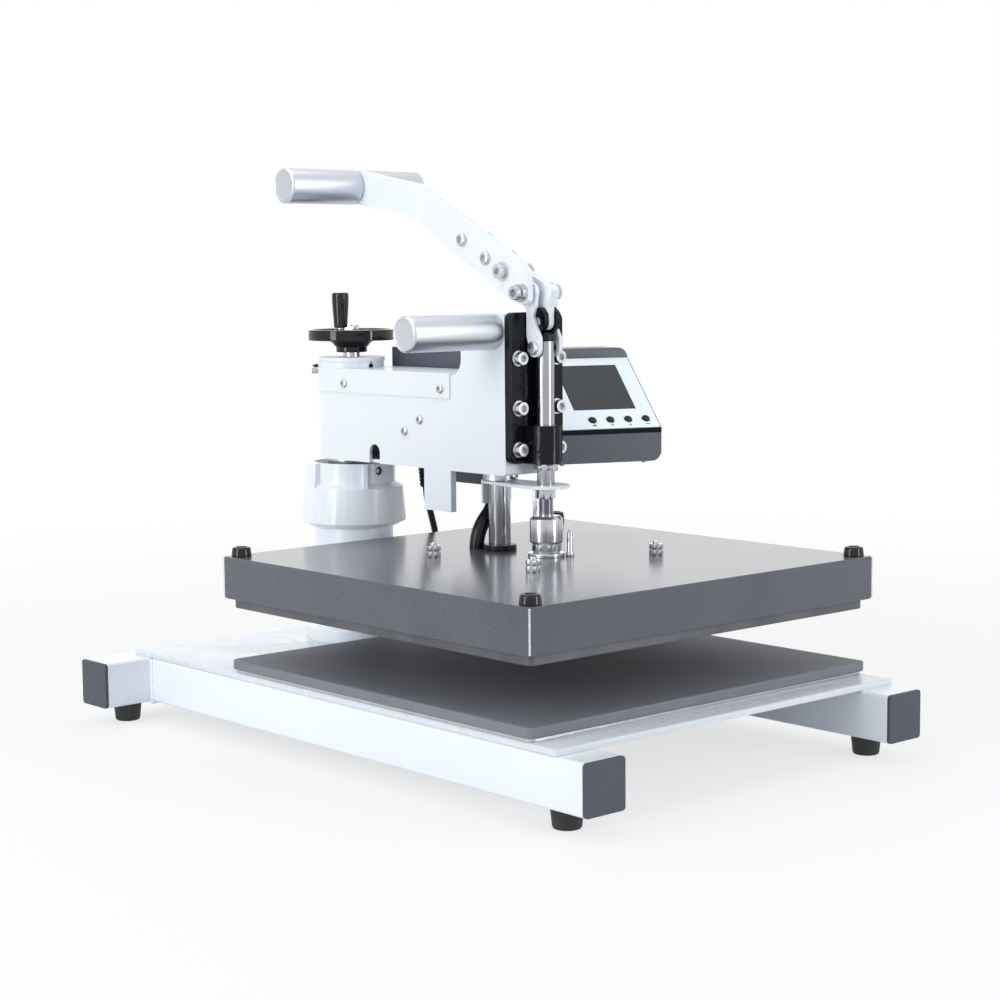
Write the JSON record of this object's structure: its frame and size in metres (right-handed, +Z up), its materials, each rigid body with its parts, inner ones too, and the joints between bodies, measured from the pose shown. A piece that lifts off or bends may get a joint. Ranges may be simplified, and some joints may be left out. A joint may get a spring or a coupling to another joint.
{
  "type": "swing-away heat press",
  "caption": "Tabletop swing-away press: a toggle lever lowers a heated platen onto a padded table, and the head swings aside on a column with a height screw.",
  "frame": {"origin": "on the floor under the centre of the base's outline", "axes": "+Z up, -Y towards the operator, +X to the operator's right"},
  "size_m": [0.476, 0.7677, 0.4915],
  "materials": {
    "white_paint": "smooth semi-gloss paint",
    "dark_cap": "matt moulded plastic",
    "black_rubber": "matt rubber",
    "zinc_steel": "zinc plated",
    "silicone": "fine matt silicone",
    "bronze": "turned bearing bronze",
    "black_steel": "blackened steel",
    "lead_rubber": "smooth cable sheath",
    "black_plastic": "moulded plastic",
    "polished_steel": "ground and polished",
    "black_casting": "gloss paint over a rough casting",
    "satin_aluminium": "satin anodised",
    "grey_paint": "fine speckled gloss paint",
    "panel_blue": "printed film",
    "display_glass": "grey display window",
    "board_green": "circuit board",
    "cast_aluminium": "cast and faced",
    "element_steel": "sheathed heating tube",
    "insulation": "fibre blanket",
    "sleeve_rubber": "smooth glossy heat-proof hose",
    "black_phenolic": "polished phenolic",
    "button_blue": "dark film button"
  },
  "bodies": {
    "base": {"left_rail": "white_paint", "right_rail": "white_paint", "rear_rail": "white_paint", "rail_end_caps": "dark_cap", "rubber_feet": "black_rubber", "base_plate": "white_paint", "lower_platen": "zinc_steel", "silicone_pad": "silicone", "column_tube": "white_paint", "column_bushes": "bronze", "stop_collar": "white_paint", "collar_lock_screw": "black_steel", "mains_lead": "lead_rubber", "lead_coil": "lead_rubber", "mains_plug": "black_plastic"},
    "swing_post": {"swing_post": "polished_steel", "height_nut": "bronze"},
    "arm": {"arm_shell": "white_paint", "arm_top_cover": "white_paint", "turret_cap": "white_paint", "arm_screws": "zinc_steel", "head_casting": "black_casting", "casting_bolts": "zinc_steel", "slide_bushes": "zinc_steel", "side_handle": "satin_aluminium", "fulcrum_pin": "polished_steel", "control_box": "grey_paint", "control_panel": "panel_blue", "display_window": "display_glass", "circuit_board": "board_green", "lead_gland": "black_plastic"},
    "lever": {"lever_plate": "white_paint", "lever_bar": "white_paint", "lever_bolts": "zinc_steel", "left_grip": "satin_aluminium", "right_grip": "satin_aluminium", "grip_stud": "zinc_steel"},
    "links": {"toggle_links": "white_paint", "link_pins": "zinc_steel"},
    "press": {"press_shaft": "polished_steel", "shaft_head": "black_steel", "yoke_plate": "white_paint", "guide_post": "polished_steel", "platen_flanges": "black_steel", "shaft_coupling": "zinc_steel", "shaft_nuts": "zinc_steel", "platen_cover": "grey_paint", "heat_plate": "cast_aluminium", "heating_element": "element_steel", "insulation_sheet": "insulation", "corner_caps": "black_plastic", "platen_studs": "zinc_steel", "heater_sleeve": "sleeve_rubber"},
    "handwheel": {"handwheel": "black_phenolic", "pressure_screw": "polished_steel"},
    "crank_grip": {"crank_grip": "black_phenolic"},
    "menu_button": {"menu_button": "button_blue"},
    "down_button": {"down_button": "button_blue"},
    "up_button": {"up_button": "button_blue"},
    "power_button": {"power_button": "button_blue"}
  },
  "joints": [
    {"name": "arm_swing", "type": "hinge", "parent": "base", "child": "swing_post", "pos_m": [0, 0.207, 0.066], "axis": [0, 0, 1], "range_deg": [-90, 0]},
    {"name": "arm_height", "type": "slide", "parent": "swing_post", "child": "arm", "axis": [0, 0, 1], "range_m": [0, 0.02]},
    {"name": "handwheel_spin", "type": "hinge", "parent": "arm", "child": "handwheel", "pos_m": [0, 0.207, 0.343], "axis": [0, 0, 1], "range_deg": [0, 3600]},
    {"name": "crank_grip_spin", "type": "hinge", "parent": "handwheel", "child": "crank_grip", "pos_m": [-0.02487, 0.19022, 0.366], "axis": [0, 0, 1], "continuous": true},
    {"name": "press_slide", "type": "slide", "parent": "arm", "child": "press", "axis": [0, 0, -1], "range_m": [0, 0.044]},
    {"name": "lever_swing", "type": "hinge", "parent": "arm", "child": "lever", "pos_m": [0, -0.057, 0.358], "axis": [1, 0, 0], "range_deg": [0, 162]},
    {"name": "link_swing", "type": "hinge", "parent": "lever", "child": "links", "pos_m": [0, -0.052, 0.382], "axis": [1, 0, 0], "range_deg": [-141, 0]},
    {"name": "menu_button_press", "type": "slide", "parent": "arm", "child": "menu_button", "axis": [0.2238, 0.5891, -0.7764], "range_m": [0, 0.001], "stiffness_N_per_m": 300},
    {"name": "down_button_press", "type": "slide", "parent": "arm", "child": "down_button", "axis": [0.2238, 0.5891, -0.7764], "range_m": [0, 0.001], "stiffness_N_per_m": 300},
    {"name": "up_button_press", "type": "slide", "parent": "arm", "child": "up_button", "axis": [0.2238, 0.5891, -0.7764], "range_m": [0, 0.001], "stiffness_N_per_m": 300},
    {"name": "power_button_press", "type": "slide", "parent": "arm", "child": "power_button", "axis": [0.2238, 0.5891, -0.7764], "range_m": [0, 0.001], "stiffness_N_per_m": 300}
  ],
  "couplings": [
    {"joint": "handwheel_spin", "follows": "arm_height", "rad_per_m": 3141.5},
    {"joint": "lever_swing", "follows": "press_slide", "rad_per_m": 64.2},
    {"joint": "link_swing", "follows": "press_slide", "rad_per_m": -55.8}
  ]
}
